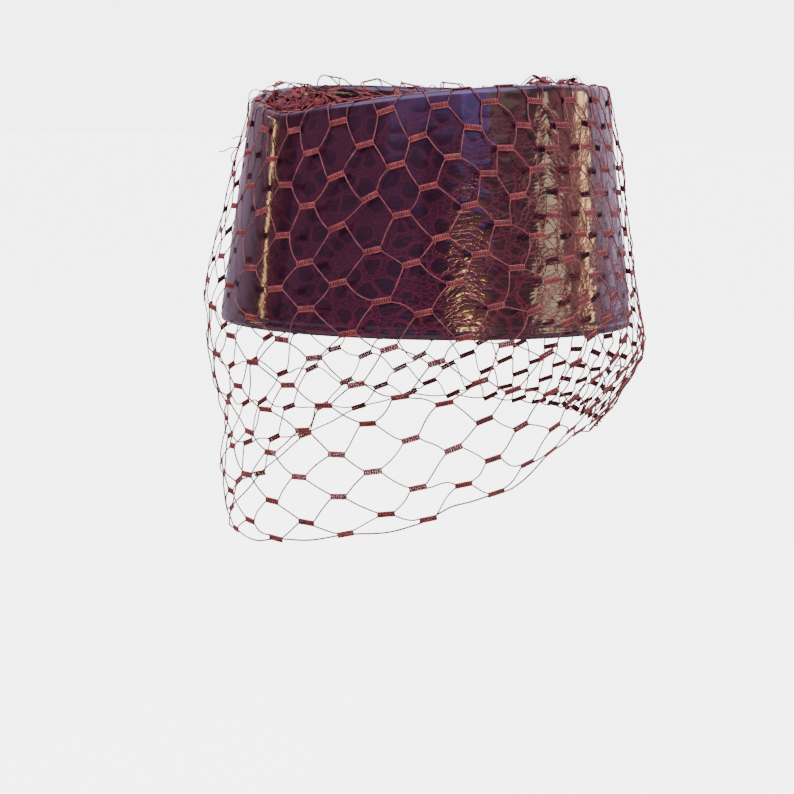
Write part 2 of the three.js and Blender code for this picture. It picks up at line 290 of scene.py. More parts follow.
def patent_leather():
    """Glossy embossed leather: dark scales, red creases round them, and a web of fine wrinkles."""
    material = bpy.data.materials.new("patent_leather")
    material.use_nodes = True
    tree = material.node_tree
    shader = tree.nodes["Principled BSDF"]
    flat = node(tree, "ShaderNodeUVMap", uv_map="leather").outputs[0]
    scales = big_scales(tree, flat)
    small = cell_edges(tree, swayed(tree, flat, 6, 2.6), SMALL_CELL, (0.80, 1.20, 1))
    long_lines = cell_edges(tree, swayed(tree, flat, 15, 9.0), LONG_CELL, (0.34, 1.4, 1))
    patches = node(tree, "ShaderNodeTexNoise", flat, noise_dimensions="2D")
    patches.inputs["Scale"].default_value = 1 / 24
    where = patches.outputs["Fac"]
    bold = math_node(tree, "MULTIPLY", boldness(tree, flat), ramp(tree, where, 0.38, 0.60, 0.75, 1.0))
    between = ramp(tree, scales, -0.2, 0.3, 1.0, 0.0)
    ring_line = ramp(tree, math_node(tree, "ABSOLUTE", scales), 0.04, 0.28, 0.9, 0.0)
    small_line = math_node(tree, "MULTIPLY", ramp(tree, small, 0.02, 0.19, 1.0, 0.0), between)
    long_where = ramp(tree, where, 0.44, 0.58, 0.85, 0.25)
    long_line = math_node(tree, "MULTIPLY", ramp(tree, long_lines, 0.02, 0.17, 1.0, 0.0), long_where)
    web = math_node(tree, "MAXIMUM", math_node(tree, "MULTIPLY", small_line, 0.85), long_line)
    up_leather = node(tree, "ShaderNodeSeparateXYZ", flat).outputs[1]
    below_roll = ramp(tree, up_leather, PLAIN_FROM - 5, PLAIN_FROM, 1.0, 0.12)
    bold = math_node(tree, "MULTIPLY", bold, below_roll)
    creases = math_node(tree, "MULTIPLY", math_node(tree, "MAXIMUM", ring_line, web), bold)

    tone = node(tree, "ShaderNodeMix", ramp(tree, scales, -0.3, 1.2), data_type="RGBA")
    tone.inputs[6].default_value = AUBERGINE
    tone.inputs[7].default_value = AUBERGINE_DEEP
    lined = node(tree, "ShaderNodeMix", math_node(tree, "MULTIPLY", creases, 0.9), data_type="RGBA")
    tree.links.new(tone.outputs[2], lined.inputs[6])
    lined.inputs[7].default_value = CREASE_RED
    tree.links.new(lined.outputs[2], shader.inputs["Base Color"])

    grain = node(tree, "ShaderNodeTexNoise", flat, noise_dimensions="2D")
    grain.inputs["Scale"].default_value = 0.55
    grain.inputs["Detail"].default_value = 1
    waves = node(tree, "ShaderNodeTexNoise", flat, noise_dimensions="2D")
    waves.inputs["Scale"].default_value = 1 / 5.5
    waves.inputs["Detail"].default_value = 1
    pillows = math_node(tree, "MULTIPLY", ramp(tree, long_lines, 0.0, 1.3), bold)
    wrinkled = math_node(tree, "MULTIPLY", between, bold)
    beads = math_node(tree, "MULTIPLY", ramp(tree, small, 0.0, 0.8), wrinkled)
    grain_depth = ramp(tree, bold, 0.4, 1.0, 0.020, 0.012)
    wave_depth = ramp(tree, bold, 0.4, 1.0, 0.05, 0.065)
    level = math_node(tree, "MULTIPLY", creases, -CREASE_DEPTH)
    level = math_node(tree, "MULTIPLY_ADD", pillows, PILLOW_RISE, level)
    level = math_node(tree, "MULTIPLY_ADD", beads, BEAD_RISE, level)
    level = math_node(tree, "MULTIPLY_ADD", grain.outputs["Fac"], grain_depth, level)
    level = math_node(tree, "MULTIPLY_ADD", waves.outputs["Fac"], wave_depth, level)
    bump = node(tree, "ShaderNodeBump")
    tree.links.new(ramp(tree, bold, 0.40, 0.90, 0.30, 1.0), bump.inputs["Strength"])
    bump.inputs["Distance"].default_value = 1.0 * MM
    tree.links.new(level, bump.inputs["Height"])
    tree.links.new(bump.outputs[0], shader.inputs["Normal"])
    tree.links.new(bump.outputs[0], shader.inputs["Coat Normal"])
    tree.links.new(ramp(tree, creases, 0.0, 0.8, 0.34, 0.60), shader.inputs["Roughness"])
    dull = math_node(tree, "MAXIMUM", creases, math_node(tree, "MULTIPLY", wrinkled, 0.42))
    tree.links.new(ramp(tree, dull, 0.1, 0.8, 0.95, 0.10), shader.inputs["Coat Weight"])
    shader.inputs["Coat Roughness"].default_value = 0.085
    shader.inputs["Specular IOR Level"].default_value = 0.07
    return material


def wrong_side():
    """The matt inside of the hat: woven stiffening the colour of the leather."""
    material = bpy.data.materials.new("wrong_side")
    material.use_nodes = True
    tree = material.node_tree
    shader = tree.nodes["Principled BSDF"]
    flat = node(tree, "ShaderNodeUVMap", uv_map="leather").outputs[0]
    threads = []
    for profile in ("X", "Y"):
        wave = node(tree, "ShaderNodeTexWave", flat, bands_direction=profile)
        wave.inputs["Scale"].default_value = 0.55
        wave.inputs["Distortion"].default_value = 0.4
        threads.append(wave.outputs["Fac"])
    weave = math_node(tree, "MAXIMUM", *threads)
    tone = node(tree, "ShaderNodeMix", weave, data_type="RGBA")
    tone.inputs[6].default_value = (0.016, 0.006, 0.010, 1)
    tone.inputs[7].default_value = (0.060, 0.022, 0.034, 1)
    tree.links.new(tone.outputs[2], shader.inputs["Base Color"])
    bump = node(tree, "ShaderNodeBump")
    bump.inputs["Distance"].default_value = 0.25 * MM
    tree.links.new(weave, bump.inputs["Height"])
    tree.links.new(bump.outputs[0], shader.inputs["Normal"])
    shader.inputs["Roughness"].default_value = 0.85
    return material


def band_profile():
    """Rows of the band's section. A point is at height base + follow x rim height.

    on_wall is 1 where the point leans with the wall and 0 where it keeps the roll's place.
    skin is 1 on the embossed outside, and along is the length over the leather from the lower edge.
    """
    rows = []

    def add(inset, base, follow, on_wall, skin, along):
        rows.append(dict(inset=inset, base=base, follow=follow, on_wall=on_wall, skin=skin, along=along))

    straight = RIM_HEIGHT - ROLL
    for step in range(round(straight / BAND_PITCH)):
        up = HEM_THICKNESS / 2 + step * BAND_PITCH
        share = up / straight
        tucked = HEM_BEAD_INSET * max(0, 1 - up / HEM_BEAD) ** 1.5
        crease = HEM_CREASE_DEPTH * max(0, 1 - abs(up - HEM_BEAD - BAND_PITCH) / BAND_PITCH)
        if share < 1:
            add(tucked + crease, -share * ROLL, share, 1, min(1, up / HEM_HEIGHT * 2), up)
    roll_steps = 12
    for step in range(roll_steps + 1):
        turn = math.pi * step / roll_steps
        skin = 1 if step < roll_steps / 2 else 0.4
        add(ROLL - ROLL * math.cos(turn), ROLL * (math.sin(turn) - 1), 1, 0, skin, straight + ROLL * turn)
    lip_top = straight + math.pi * ROLL
    for share in (0.12, 0.3, 0.5, 0.75, 1):
        base = -(1 - share) * ROLL + share * (TIP_TOP + 0.3 * MM)
        add(2 * ROLL, base, 1 - share, 0, 0.4, lip_top + share * (straight - TIP_TOP))
    add(2 * ROLL - WALL, TIP_TOP + 0.3 * MM, 0, 0, 0, 0)
    for step in range(5):
        turn = math.pi * step / 4
        inner = ROLL - WALL
        add(ROLL + inner * math.cos(turn), inner * math.sin(turn) - ROLL, 1, 0, 0, 0)
    for up in (92, 75, 60, 45, 30, 20):
        add(WALL, up * MM, 0, 1, 0, up * MM)
    add(WALL, HEM_HEIGHT + WALL / 2, 0, 1, 0, HEM_HEIGHT)
    add(HEM_THICKNESS, HEM_HEIGHT, 0, 1, 0, HEM_HEIGHT)
    first_inset = rows[0]["inset"]
    for step in range(6):
        turn = math.pi * step / 6
        half = (HEM_THICKNESS - first_inset) / 2
        rounded = HEM_THICKNESS / 2 * (1 - math.sin(turn))
        add(first_inset + half + half * math.cos(turn), rounded, 0, 1, 0, 0)
    return rows


def shape_band(mesh):
    """Moves the spun band to its oval, its lean and its dipped rim, and maps its leather."""
    value = {key: values_of(mesh, key) for key in ("inset", "base", "follow", "on_wall", "skin", "along")}
    places = places_of(mesh)
    angle = np.arctan2(places[:, 0], -places[:, 1])
    turn = np.degrees(angle)
    rim = rim_height(turn)
    up = value["base"] + value["follow"] * rim
    lean_at = np.where(value["on_wall"] > 0.5, up, rim - ROLL)
    from_seam = (math.pi - np.abs(angle)) * EDGE_HALF_LENGTH
    seam = SEAM_DEPTH * np.clip(1 - (from_seam / SEAM_HALF) ** 2, 0, 1) * (value["skin"] > 0)
    out = wall_out(turn, lean_at) - value["inset"] - seam
    x, y = in_plan(turn, out)
    put_places(mesh, np.column_stack([x, y, up]))
    corners = np.zeros(len(mesh.loops), np.int32)
    mesh.loops.foreach_get("vertex_index", corners)
    around = angle[corners].reshape(-1, 4)
    across_seam = np.ptp(around, axis=1, keepdims=True) > math.pi
    around = np.where(across_seam & (around < 0), around + 2 * math.pi, around)
    girth = (EDGE_HALF_WIDTH + EDGE_HALF_LENGTH - RIM_INSET) / 2
    leather_map(mesh, np.column_stack([around.ravel() * girth, value["along"][corners]]))
    skin = mesh.attributes.new("skin", "FLOAT", "POINT")
    skin.data.foreach_set("value", value["skin"] * (from_seam > SEAM_HALF))
    inside = (value["skin"][corners].reshape(-1, 4).max(axis=1) == 0).astype(np.int32)
    mesh.polygons.foreach_set("material_index", inside)


band_mesh = spun("side_band_leather", band_profile(), BAND_STEPS)
shape_band(band_mesh)
band_mesh = emboss("band_scales", band_mesh)
leather = patent_leather()
stiffening = wrong_side()
band = add_piece("side_band_leather", band_mesh, leather, stiffening)
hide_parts("side_band")


# Crown tip. A flat oval of the same leather, set into the band below the rim and stitched round.
# It is a little padded, so it swells between its stitched edge and the gathers that hold it down.

TIP_STEPS = 220
TIP_THICKNESS = TIP_CORNER.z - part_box("crown_tip")[0].z
TIP_SWELL = 0.9 * MM


def tip_profile():
    """Rows from the middle of the top, out over the edge and back below."""
    rows = []
    rings = 44
    for ring in range(rings + 1):
        share = ring / rings
        swell = TIP_SWELL * math.sin(math.pi * share) ** 2
        rows.append(dict(inset=1 - share, base=TIP_TOP - TIP_SWELL + swell, follow=0, skin=1))
    rows.append(dict(inset=0, base=TIP_TOP - TIP_THICKNESS, follow=0, skin=0))
    rows.append(dict(inset=0.5, base=TIP_TOP - TIP_THICKNESS, follow=0, skin=0))
    rows.append(dict(inset=1, base=TIP_TOP - TIP_THICKNESS, follow=0, skin=0))
    return rows


def shape_tip(mesh):
    """Stretches the spun tip to its oval and maps its leather from above."""
    inset, base, skin = (values_of(mesh, key) for key in ("inset", "base", "skin"))
    values_of(mesh, "follow")
    places = places_of(mesh)
    x = places[:, 0] * TIP_CORNER.x
    y = places[:, 1] * TIP_CORNER.y
    put_places(mesh, np.column_stack([x, y, base]))
    corners = np.zeros(len(mesh.loops), np.int32)
    mesh.loops.foreach_get("vertex_index", corners)
    leather_map(mesh, np.column_stack([x[corners], y[corners]]))
    layer = mesh.attributes.new("skin", "FLOAT", "POINT")
    layer.data.foreach_set("value", skin * (inset > 0.03))
    starts = np.zeros(len(mesh.polygons), np.int32)
    mesh.polygons.foreach_get("loop_start", starts)
    inside = np.minimum.reduceat(skin[corners], starts) == 0
    mesh.polygons.foreach_set("material_index", inside.astype(np.int32))


tip_mesh = spun("crown_tip_leather", tip_profile(), TIP_STEPS, closed=False)
shape_tip(tip_mesh)
tip_mesh = emboss("tip_scales", tip_mesh)
tip = add_piece("crown_tip_leather", tip_mesh, leather, stiffening)
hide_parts("crown_tip")


# Veil. Brick red net of six-sided meshes, woven with a flat bar where four threads meet.
# It is gathered on the crown, lies over the rim all round and hangs free below the lower edge.

COLUMNS = 48
COLUMN_START = -179.5
ROWS_TO_RIM = 8.85
HEM_ROW_SHARE = 0.9
BAR_LENGTH = 8.2 * MM
BAR_HEIGHT = 2.1 * MM
BAR_RAIL = 0.72 * MM
BAR_RUNG = 0.82 * MM
BAR_CORE = 0.64 * MM
BAR_RUNGS = 8
RUNG_SPREAD = 0.93
RUNG_SCATTER = 0.07 * MM
PLACE_SCATTER = 0.05
ROW_SCATTER = 0.035
LENGTH_SCATTER = 0.03
TILT_SCATTER = 4
CROWDED_TILT_SCATTER = 35
MOST_ROWS = 14
NET_SLACK = 0.4 * MM
CROWN_SLACK = 0.8 * MM
NET_THREAD = 0.56 * MM
HANGING_THREAD = 0.70 * MM
NET_SLIDE = 34
NET_MIDDLE = -12
TOP_TILT = 20
LOW_TILT = 30
CROWN_PITCH = 24 * MM
FAR_ARCH = 3.8 * MM
VEIL_LIFT = 0.45 * MM
VEIL_BULGE = 10 * MM
VEIL_FRONT_DROP = 98 * MM
VEIL_BACK_DROP = 47 * MM
CROWN_HALF_WIDTH = 8 * MM
CROWN_HALF_LENGTH = 66 * MM
CROWN_NET_UP = 14 * MM
CROWN_SAG = 0.05
ON_WALL = [
    dict(up=0.90, front=0.12, back=0.12),
    dict(up=0.74, front=0.45, back=0.30),
    dict(up=0.50, front=0.62, back=0.30),
    dict(up=0.25, front=0.95, back=0.30),
    dict(up=0.10, front=0.95, back=0.42),
]
BELOW_EDGE = [
    dict(down=0.00, front=0.62, back=0.60),
    dict(down=0.15, front=0.55, back=0.70),
    dict(down=0.30, front=0.25, back=0.70),
    dict(down=0.45, front=-0.30, back=0.40),
    dict(down=0.55, front=-0.40, back=0.10),
    dict(down=0.68, front=-0.10, back=-0.35),
    dict(down=0.84, front=-0.20, back=-0.85),
    dict(down=1.00, front=-0.50, back=-1.60),
]
DROP_ROUND = [
    dict(turn=-180, drop=0.00),
    dict(turn=-120, drop=0.00),
    dict(turn=-100, drop=0.18),
    dict(turn=-80, drop=0.45),
    dict(turn=-58, drop=0.80),
    dict(turn=-30, drop=1.00),
    dict(turn=0, drop=1.00),
    dict(turn=23, drop=0.88),
    dict(turn=45, drop=0.76),
    dict(turn=53, drop=0.70),
    dict(turn=61, drop=0.53),
    dict(turn=78, drop=0.44),
    dict(turn=92, drop=0.16),
    dict(turn=104, drop=0.00),
    dict(turn=180, drop=0.00),
]
LOOSE_ENDS = [(18.4, 7.6, 10 * MM), (18.9, 7.9, 5 * MM), (44.3, 1.6, 6 * MM)]
chance = np.random.default_rng(12)


def column(rows, key):
    """One value from each row of a list."""
    return np.array([row[key] for row in rows])


def far_arch(turn):
    """How far the net stands off the rim, in loose arches on the hat's right."""
    share = max(0, math.sin(math.pi * (turn + 155) / 125)) if -155 < turn < -30 else 0
    return FAR_ARCH * share * (0.6 + 0.4 * math.sin(turn * 0.27))


def veil_line(turn):
    """The net's fall at one place round the hat: distances out and heights, from inside the rim."""
    rim = float(rim_height(turn))
    roll_out = wall_out(turn, rim - ROLL) - ROLL
    cover = ROLL + VEIL_LIFT + far_arch(turn)
    back = (1 - math.cos(math.radians(turn))) / 2
    over_rim = np.radians([135, 110, 90, 68, 45, 22, 0])
    out = list(roll_out + cover * np.cos(over_rim))
    up = list(rim - ROLL + cover * np.sin(over_rim))
    for row in ON_WALL:
        height = row["up"] * (rim - ROLL)
        stand = VEIL_BULGE * (row["front"] * (1 - back) + row["back"] * back)
        out.append(wall_out(turn, height) + max(VEIL_LIFT * 2, stand))
        up.append(height)
    drop_share = np.interp(turn, column(DROP_ROUND, "turn"), column(DROP_ROUND, "drop"))
    drop = VEIL_BACK_DROP + drop_share * (VEIL_FRONT_DROP - VEIL_BACK_DROP)
    for row in BELOW_EDGE:
        stand = VEIL_BULGE * (row["front"] * (1 - back) + row["back"] * back)
        out.append(wall_out(turn, 0) + stand)
        up.append(-row["down"] * drop)
    return np.array(out), np.array(up)


def smooth_round(values, reach):
    """Evens out values that go once round the hat."""
    kernel = np.hanning(2 * reach + 3)[1:-1]
    kernel /= kernel.sum()
    padded = np.concatenate([values[-reach - 1:-1], values, values[1:reach + 1]])
    return np.convolve(padded, kernel, "valid")


TURNS = np.linspace(-180, 180, 361)
STEP = 0.5 * MM
BEFORE_RIM = 12 * MM
AFTER_RIM = 225 * MM
paces = np.arange(-BEFORE_RIM, AFTER_RIM, STEP)
fall_out = np.zeros((len(TURNS), len(paces)))
fall_up = np.zeros_like(fall_out)
hem_length = np.zeros(len(TURNS))
inner_length = np.zeros(len(TURNS))
soften = np.ones(5) / 5
for place, turn in enumerate(TURNS):
    outs, ups = veil_line(turn)
    lengths = np.concatenate([[0], np.cumsum(np.hypot(np.diff(outs), np.diff(ups)))])
    inner_length[place] = lengths[2]
    hem_length[place] = lengths[-1] - lengths[2]
    fall_out[place] = np.interp(paces + lengths[2], lengths, outs)
    fall_up[place] = np.interp(paces + lengths[2], lengths, ups)
    fall_out[place, 2:-2] = np.convolve(fall_out[place], soften, "valid")
    fall_up[place, 2:-2] = np.convolve(fall_up[place], soften, "valid")
hem_length = smooth_round(hem_length, 4)


def on_fall(grid, turn, pace):
    """Reads a grid of the veil's fall at places round and along it."""
    across = (np.mod(turn + 180, 360)) / 360 * (len(TURNS) - 1)
    down = np.clip((pace + BEFORE_RIM) / STEP, 0, len(paces) - 1.001)
    left = np.clip(np.floor(across).astype(int), 0, len(TURNS) - 2)
    above = np.floor(down).astype(int)
    a, b = across - left, down - above
    top = grid[left, above] * (1 - a) + grid[left + 1, above] * a
    low = grid[left, above + 1] * (1 - a) + grid[left + 1, above + 1] * a
    return top * (1 - b) + low * b


def round_value(values, turn):
    """Reads a value that is kept for each degree round the hat."""
    return np.interp(np.mod(turn + 180, 360) - 180, TURNS, values)


# The net's own grid: its columns of bars slide round towards the nape as they come down.
FINE = 6
FINE_COLUMNS = np.linspace(0, COLUMNS, COLUMNS * FINE + 1)
ROW_STEP = 0.05
FINE_ROWS = np.arange(0, MOST_ROWS, ROW_STEP)
net_places = np.zeros((len(FINE_COLUMNS), len(FINE_ROWS), 3))
rows_up = np.zeros(len(FINE_COLUMNS))
for place, lattice in enumerate(FINE_COLUMNS):
    start = 360 * lattice / COLUMNS + COLUMN_START
    slide = NET_SLIDE * math.sin(math.radians(start - NET_MIDDLE))
    length = float(round_value(hem_length, start + slide))
    inner = float(round_value(inner_length, start))
    inner_out = float(on_fall(fall_out, np.array(start), np.array(-inner)))
    inner_up = float(on_fall(fall_up, np.array(start), np.array(-inner)))
    lip = np.array([*in_plan(start, inner_out), inner_up])
    angle = math.radians(start)
    gather = np.array([
        CROWN_HALF_WIDTH * math.sin(angle), -CROWN_HALF_LENGTH * math.cos(angle),
        min(TIP_TOP + CROWN_NET_UP, inner_up - 1 * MM),
    ])
    crossing = float(np.linalg.norm(gather - lip))
    rows_up[place] = ROWS_TO_RIM + (inner + crossing) / CROWN_PITCH
    fallen = np.clip(1 - FINE_ROWS / ROWS_TO_RIM, 0, 1)
    beyond = np.clip(FINE_ROWS - ROWS_TO_RIM, 0, None) * CROWN_PITCH
    pace = length * (1.12 * fallen - 0.12 * fallen ** 2) - np.minimum(beyond, inner)
    turned = start + slide * fallen
    x, y = in_plan(turned, on_fall(fall_out, turned, pace))
    net_places[place] = np.column_stack([x, y, on_fall(fall_up, turned, pace)])
    across = np.clip((beyond - inner) / crossing, 0, 1)[:, None]
    net_places[place] += across * (gather - lip)
    net_places[place, :, 2] -= CROWN_SAG * crossing * np.sin(math.pi * across[:, 0])


def on_net(lattice, row):
    """The place on the net so many columns round and so many rows of bars up from the hem."""
    lattice, row = np.broadcast_arrays(lattice, row)
    across = np.mod(lattice, COLUMNS) * FINE
    up = np.clip(row / ROW_STEP, 0, len(FINE_ROWS) - 1.001)
    left = np.floor(across).astype(int)
    low = np.floor(up).astype(int)
    a, b = (across - left)[..., None], (up - low)[..., None]
    below = net_places[left, low] * (1 - a) + net_places[left + 1, low] * a
    above = net_places[left, low + 1] * (1 - a) + net_places[left + 1, low + 1] * a
    return below * (1 - b) + above * b


def clear_of_leather(places, gap):
    """Moves places of a thread's middle out of the band and the tip."""
    x, y, up = places[..., 0], places[..., 1], places[..., 2]
    turn = turn_of(x, y)
    rim = rim_height(turn)
    out = np.hypot(x, y)
    roll_out = wall_out(turn, rim - ROLL) - ROLL
    roll_up = rim - ROLL
    away = np.hypot(out - roll_out, up - roll_up)
    push = np.where((up > roll_up) & (away < ROLL + gap), (ROLL + gap) / np.maximum(away, 1e-6), 1)
    new_out = roll_out + (out - roll_out) * push
    new_up = roll_up + (up - roll_up) * push
    outside = wall_out(turn, up) + gap
    beside = (up <= roll_up) & (up > 0) & (out > roll_out)
    new_out = np.where(beside, np.maximum(out, outside), new_out)
    within = (up <= roll_up) & (up > TIP_TOP - 3 * MM) & (out <= roll_out)
    new_out = np.where(within, np.minimum(out, roll_out - ROLL - gap), new_out)
    new_up = np.where(within, np.maximum(up, TIP_TOP + gap), new_up)
    share = new_out / np.maximum(out, 1e-6)
    return np.stack([x * share, y * share, new_up], axis=-1)


def tubes(routes, thickness, roundness, slot=0):
    """Joins round threads, one along each route, in one mesh of one of its object's materials."""
    curve = bpy.data.curves.new("thread", "CURVE")
    curve.dimensions = "3D"
    curve.bevel_depth = thickness / 2
    curve.bevel_resolution = roundness
    curve.use_fill_caps = True
    for route in routes:
        spline = curve.splines.new("POLY")
        spline.points.add(len(route) - 1)
        weighted = np.column_stack([route, np.ones(len(route))])
        spline.points.foreach_set("co", weighted.astype(np.float32).ravel())
    holder = bpy.data.objects.new("thread", curve)
    bpy.context.scene.collection.objects.link(holder)
    finished = holder.evaluated_get(bpy.context.evaluated_depsgraph_get())
    mesh = bpy.data.meshes.new_from_object(finished)
    bpy.data.objects.remove(holder)
    bpy.data.curves.remove(curve)
    mesh.polygons.foreach_set("material_index", np.full(len(mesh.polygons), slot, np.int32))
    return mesh


def joined(name, *meshes):
    """Joins meshes of threads in one, with the ends of each thread closed."""
    bm = bmesh.new()
    for mesh in meshes:
        bm.from_mesh(mesh)
        bpy.data.meshes.remove(mesh)
    bmesh.ops.remove_doubles(bm, verts=bm.verts, dist=1e-7)
    result = bpy.data.meshes.new(name)
    bm.to_mesh(result)
    bm.free()
    return result


def unit(vectors):
    """The same directions, one long."""
    return vectors / np.linalg.norm(vectors, axis=-1, keepdims=True)


def bar_frame(sheet, line, row, tilt):
    """A bar's middle, its direction and the direction across it, in the plane of the net there."""
    middle = sheet(line, row)
    round_way = unit(sheet(line + 0.25, row) - sheet(line - 0.25, row))
    up_way = sheet(line, row + 0.15) - sheet(line, row - 0.15)
    normal = unit(np.cross(round_way, up_way))
    level = np.cross((0, 0, 1), normal)
    steep = np.linalg.norm(level)
    level = level / steep if steep > 0.5 else round_way
    level = level * np.sign(np.dot(level, round_way))
    across = unit(np.cross(normal, level))
    along = level * math.cos(tilt) + across * math.sin(tilt)
    return middle, along, across * math.cos(tilt) - level * math.sin(tilt)


def bar_routes(middle, along, across, half, settle):
    """The two rails of a bar, the rungs woven over it, and the two threads they are woven round, which are
    given a near black finish as painted shade in the gaps between the rungs.
    """
    rails, rungs, cores = [], [], []
    for side in (-1, 1):
        steps = np.linspace(-1, 1, 5)[:, None]
        rails.append(settle(middle + steps * half * along + side * BAR_HEIGHT / 2 * across))
    for step in np.linspace(-1, 1, BAR_RUNGS):
        slip = step * half * RUNG_SPREAD + chance.normal(0, RUNG_SCATTER)
        ends = np.array([[-1], [1]]) * BAR_HEIGHT / 2
        rungs.append(settle(middle + slip * along + ends * across))
    for side in (-1, 1):
        steps = np.linspace(-1, 1, 3)[:, None]
        cores.append(settle(middle + steps * half * along + side * BAR_HEIGHT / 6 * across))
    return rails, rungs, cores


def bar_corner(bar, right, upper):
    """The end of one rail of a bar, where a thread leaves it."""
    end = right * bar["half"] * bar["along"] + upper * BAR_HEIGHT / 2 * bar["across"]
    return bar["middle"] + end


def strung(first, last, sheet_part, bow, settle, points=7):
    """A thread between two places, which follows the net's fall and bows a little."""
    share = np.linspace(0, 1, points)[:, None]
    fall = sheet_part(share[:, 0])
    at_ends = (first - fall[0]) * (1 - share) + (last - fall[-1]) * share
    return settle(fall + at_ends + np.sin(np.pi * share) * chance.normal(0, bow, 3))


def net_finish(name, light, dark):
    """Matt twisted thread, in two tones that change along it; for the bar cores and the gathers the dark
    tone is painted shade.
    """
    material = bpy.data.materials.new(name)
    material.use_nodes = True
    tree = material.node_tree
    shader = tree.nodes["Principled BSDF"]
    place = node(tree, "ShaderNodeTexCoord").outputs["Object"]
    tone = node(tree, "ShaderNodeTexNoise", place)
    tone.inputs["Scale"].default_value = 260
    tone.inputs["Detail"].default_value = 3
    mixed = node(tree, "ShaderNodeMix", ramp(tree, tone.outputs["Fac"], 0.36, 0.64), data_type="RGBA")
    mixed.inputs[6].default_value = dark
    mixed.inputs[7].default_value = light
    tree.links.new(mixed.outputs[2], shader.inputs["Base Color"])
    fibre = node(tree, "ShaderNodeTexNoise", place)
    fibre.inputs["Scale"].default_value = 3200
    bump = node(tree, "ShaderNodeBump")
    bump.inputs["Strength"].default_value = 0.6
    bump.inputs["Distance"].default_value = 0.1 * MM
    tree.links.new(fibre.outputs["Fac"], bump.inputs["Height"])
    tree.links.new(bump.outputs[0], shader.inputs["Normal"])
    shader.inputs["Roughness"].default_value = 0.7
    shader.inputs["Sheen Weight"].default_value = 0.08
    return material


def bar_tilt(turn, fallen):
    """Degrees by which bars rise along the hat's side: near its top by the front, lower behind."""
    from_middle = np.mod(turn - NET_MIDDLE + 180, 360) - 180
    away = abs(from_middle)
    top = TOP_TILT * math.exp(-((away - 44) / 22) ** 2)
    low = LOW_TILT * np.clip((away - 14) / 75, 0, 1) * np.clip((175 - away) / 50, 0, 1)
    share = np.clip((fallen - 0.35) / 0.4, 0, 1)
    return math.copysign(top * (1 - share) + low * share, from_middle)


def settled(places):
    """Lays places of the veil's threads on the leather."""
    return clear_of_leather(places, BAR_RAIL / 2 + 0.05 * MM)


veil_bars = {}
for line in range(COLUMNS):
    top_row = rows_up[line * FINE]
    for count in range(MOST_ROWS):
        if line % 2:
            row, key = count + 0.4, 2 * count + 1
        else:
            row, key = max(0, count - 1 + HEM_ROW_SHARE), 2 * count
        if row > top_row - 0.15:
            break
        place_line = line + chance.normal(0, PLACE_SCATTER)
        place_row = row + (chance.normal(0, ROW_SCATTER) if key else 0)
        fallen = 1 - min(1, place_row / ROWS_TO_RIM)
        turn = 360 * line / COLUMNS + COLUMN_START
        width = float(np.linalg.norm(on_net(line + 0.5, row) - on_net(line - 0.5, row)))
        crowd = np.clip((BAR_LENGTH * 1.15 - width) / BAR_LENGTH, 0, 1)
        tilt_scatter = TILT_SCATTER + CROWDED_TILT_SCATTER * crowd
        tilt = bar_tilt(turn, fallen) + chance.normal(0, tilt_scatter)
        middle, along, across = bar_frame(on_net, place_line, place_row, math.radians(tilt))
        half = BAR_LENGTH * (1 + chance.normal(0, LENGTH_SCATTER)) / 2
        veil_bars[(line, key)] = dict(
            line=place_line, row=place_row, middle=middle, along=along, across=across, half=half,
        )
rails, rungs, cores, thread_routes = [], [], [], []
for (line, key), bar in veil_bars.items():
    bar_rails, bar_rungs, bar_cores = bar_routes(
        bar["middle"], bar["along"], bar["across"], bar["half"], settled)
    rails += bar_rails
    rungs += bar_rungs
    cores += bar_cores
    for rise in (-1, 1):
        other = veil_bars.get(((line + 1) % COLUMNS, key + rise))
        if other is None:
            continue
        other_line = other["line"] + (COLUMNS if line == COLUMNS - 1 else 0)

        def fall_between(share):
            return on_net(bar["line"] + (other_line - bar["line"]) * share,
                          bar["row"] + (other["row"] - bar["row"]) * share)

        first = bar_corner(bar, 1, rise)
        last = bar_corner(other, -1, -rise)
        thread_routes.append(strung(first, last, fall_between, NET_SLACK, settled))
    if (line, key + 2) not in veil_bars:
        for right in (-1, 1):
            end_line = line + right * 0.5
            end_row = float(np.interp(end_line % COLUMNS, FINE_COLUMNS, rows_up))

            def fall_to_crown(share):
                return on_net(bar["line"] + (end_line - bar["line"]) * share,
                              bar["row"] + (end_row - bar["row"]) * share)

            first = bar_corner(bar, right, 1)
            last = on_net(end_line, end_row)
            thread_routes.append(strung(first, last, fall_to_crown, CROWN_SLACK, settled))
for at_line, at_row, reach in LOOSE_ENDS:
    steps = np.linspace(0, 1, 9)[:, None]
    root = on_net(at_line, at_row)
    aim = unit(root * (1, 1, 0))
    turn_off = np.cross((0, 0, 1), aim)
    curl = aim * reach * steps + turn_off * reach * 0.35 * steps ** 2
    curl[:, 2] += 0.12 * reach * np.sin(5 * steps[:, 0])
    thread_routes.append(root + curl)
bar_finish = net_finish("bar_edge_thread", (0.350, 0.060, 0.036, 1), (0.185, 0.024, 0.018, 1))
rung_finish = net_finish("bar_filling_thread", (0.290, 0.040, 0.028, 1), (0.150, 0.016, 0.014, 1))
# The bar cores are near black: painted shade that shows as dark gaps between the rungs, not a thread
# colour of the net.
core_shade_finish = net_finish("bar_core_painted_shade", (0.085, 0.012, 0.012, 1), (0.045, 0.006, 0.008, 1))
thread_finish = net_finish("net_thread", (0.260, 0.060, 0.045, 1), (0.125, 0.024, 0.021, 1))
bar_mesh = joined("veil_bars", tubes(rails, BAR_RAIL, 1), tubes(rungs, BAR_RUNG, 0, 1),
                  tubes(cores, BAR_CORE, 0, 2))
veil_bar_piece = add_piece("veil_bars", bar_mesh, bar_finish, rung_finish, core_shade_finish)
lying = [route for route in thread_routes if 0 < route[:, 2].mean() < RIM_HEIGHT - 2 * MM]
hanging = [route for route in thread_routes if not 0 < route[:, 2].mean() < RIM_HEIGHT - 2 * MM]
